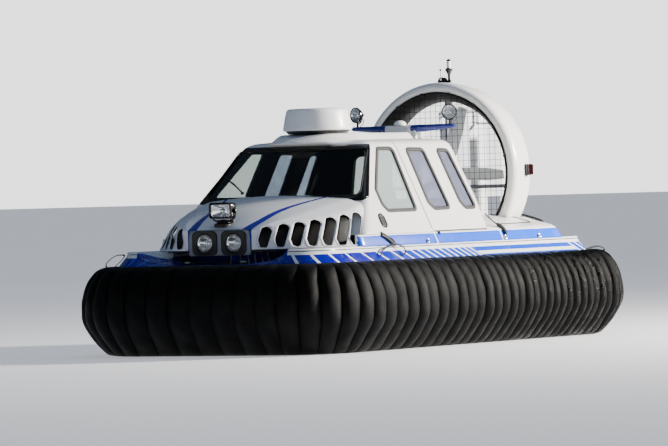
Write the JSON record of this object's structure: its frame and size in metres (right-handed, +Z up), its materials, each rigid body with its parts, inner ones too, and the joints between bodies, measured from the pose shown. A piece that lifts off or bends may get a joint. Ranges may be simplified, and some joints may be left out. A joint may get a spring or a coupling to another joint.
{
  "type": "cabin hovercraft",
  "caption": "Light hovercraft with a finger skirt, enclosed cabin, gullwing doors, roof radome and a ducted propeller with rudders.",
  "frame": {"origin": "on the ground under the middle of the craft's overall box", "axes": "+Z up, +Y aft along the craft's length (the bow is at -Y), +X to port"},
  "size_m": [2.57, 4.67, 2.253],
  "materials": {
    "hull_black": "satin black glass-fibre underside",
    "skirt_fabric": "coated skirt fabric, semi-gloss, wet and scuffed",
    "gelcoat": "glossy off-white gelcoat with blue stripes",
    "glazing": "clear, slightly green",
    "black_plastic": "satin black",
    "lamp_chrome": "bright reflector behind clear lens",
    "radome_white": "glossy white",
    "bar_blue": "glossy dark blue",
    "wire_steel": "painted wire",
    "propeller_composite": "satin black composite",
    "rudder_grey": "light grey paint",
    "frame_aluminium": "mill finish",
    "lens_red": "tinted lens in a black case",
    "lens_green": "tinted lens in a black case",
    "upholstery": "woven charcoal seat cloth",
    "engine_metal": "dull cast"
  },
  "bodies": {
    "craft": {"hull_tub": "hull_black", "skirt": "skirt_fabric", "deck_moulding": "gelcoat", "hood": "gelcoat", "cabin_shell": "gelcoat", "windscreen": "glazing", "rear_window": "glazing", "front_window_port": "glazing", "front_window_starboard": "glazing", "headlight_bezels": "black_plastic", "headlight_port": "lamp_chrome", "headlight_starboard": "lamp_chrome", "bow_rail": "black_plastic", "searchlight_base": "black_plastic", "searchlight_head": "black_plastic", "roof_fairing": "gelcoat", "radome": "radome_white", "light_bar": "bar_blue", "bar_lamp_port": "lamp_chrome", "bar_lamp_starboard": "lamp_chrome", "gps_dome": "radome_white", "duct": "gelcoat", "inlet_guard": "wire_steel", "pylon": "black_plastic", "rudder_frame_upper": "frame_aluminium", "rudder_frame_lower": "frame_aluminium", "masthead_light": "black_plastic", "stern_light": "radome_white", "side_light_port": "lens_red", "side_light_starboard": "lens_green", "seat_port": "upholstery", "seat_starboard": "upholstery", "rear_bench": "upholstery", "dashboard": "black_plastic", "engine": "engine_metal", "wiper": "black_plastic"},
    "door_port": {"door_port": "gelcoat", "door_window_front_port": "glazing", "door_window_rear_port": "glazing"},
    "door_starboard": {"door_starboard": "gelcoat", "door_window_front_starboard": "glazing", "door_window_rear_starboard": "glazing"},
    "propeller": {"propeller": "propeller_composite"},
    "rudder_1": {"rudder_1": "rudder_grey"},
    "rudder_2": {"rudder_2": "rudder_grey"},
    "rudder_3": {"rudder_3": "rudder_grey"},
    "rudder_4": {"rudder_4": "rudder_grey"},
    "steering": {"steering_bar": "black_plastic"},
    "engine_hatch": {"engine_hatch": "gelcoat"}
  },
  "joints": [
    {"name": "door_port_lift", "type": "hinge", "parent": "craft", "child": "door_port", "pos_m": [0.327, 0, 1.618], "axis": [0, -1, 0], "range_deg": [0, 75]},
    {"name": "door_starboard_lift", "type": "hinge", "parent": "craft", "child": "door_starboard", "pos_m": [-0.327, 0, 1.618], "axis": [0, 1, 0], "range_deg": [0, 75]},
    {"name": "propeller_spin", "type": "hinge", "parent": "craft", "child": "propeller", "pos_m": [0, 1.395, 1.328], "axis": [0, 1, 0], "continuous": true},
    {"name": "steering_turn", "type": "hinge", "parent": "craft", "child": "steering", "pos_m": [0.28, -0.69, 1.04], "axis": [0, 0.9429, 0.333], "range_deg": [-45, 45]},
    {"name": "rudder_1_turn", "type": "hinge", "parent": "craft", "child": "rudder_1", "pos_m": [-0.42, 1.64, 1.328], "axis": [0, 0, 1], "range_deg": [-30, 30]},
    {"name": "rudder_2_turn", "type": "hinge", "parent": "craft", "child": "rudder_2", "pos_m": [-0.14, 1.64, 1.328], "axis": [0, 0, 1], "range_deg": [-30, 30]},
    {"name": "rudder_3_turn", "type": "hinge", "parent": "craft", "child": "rudder_3", "pos_m": [0.14, 1.64, 1.328], "axis": [0, 0, 1], "range_deg": [-30, 30]},
    {"name": "rudder_4_turn", "type": "hinge", "parent": "craft", "child": "rudder_4", "pos_m": [0.42, 1.64, 1.328], "axis": [0, 0, 1], "range_deg": [-30, 30]},
    {"name": "engine_hatch_lift", "type": "hinge", "parent": "craft", "child": "engine_hatch", "pos_m": [0, 0.785, 0.9906], "axis": [1, 0, 0], "range_deg": [0, 65]}
  ],
  "couplings": [
    {"joint": "rudder_1_turn", "follows": "steering_turn", "ratio": 0.66},
    {"joint": "rudder_2_turn", "follows": "steering_turn", "ratio": 0.66},
    {"joint": "rudder_3_turn", "follows": "steering_turn", "ratio": 0.66},
    {"joint": "rudder_4_turn", "follows": "steering_turn", "ratio": 0.66}
  ]
}
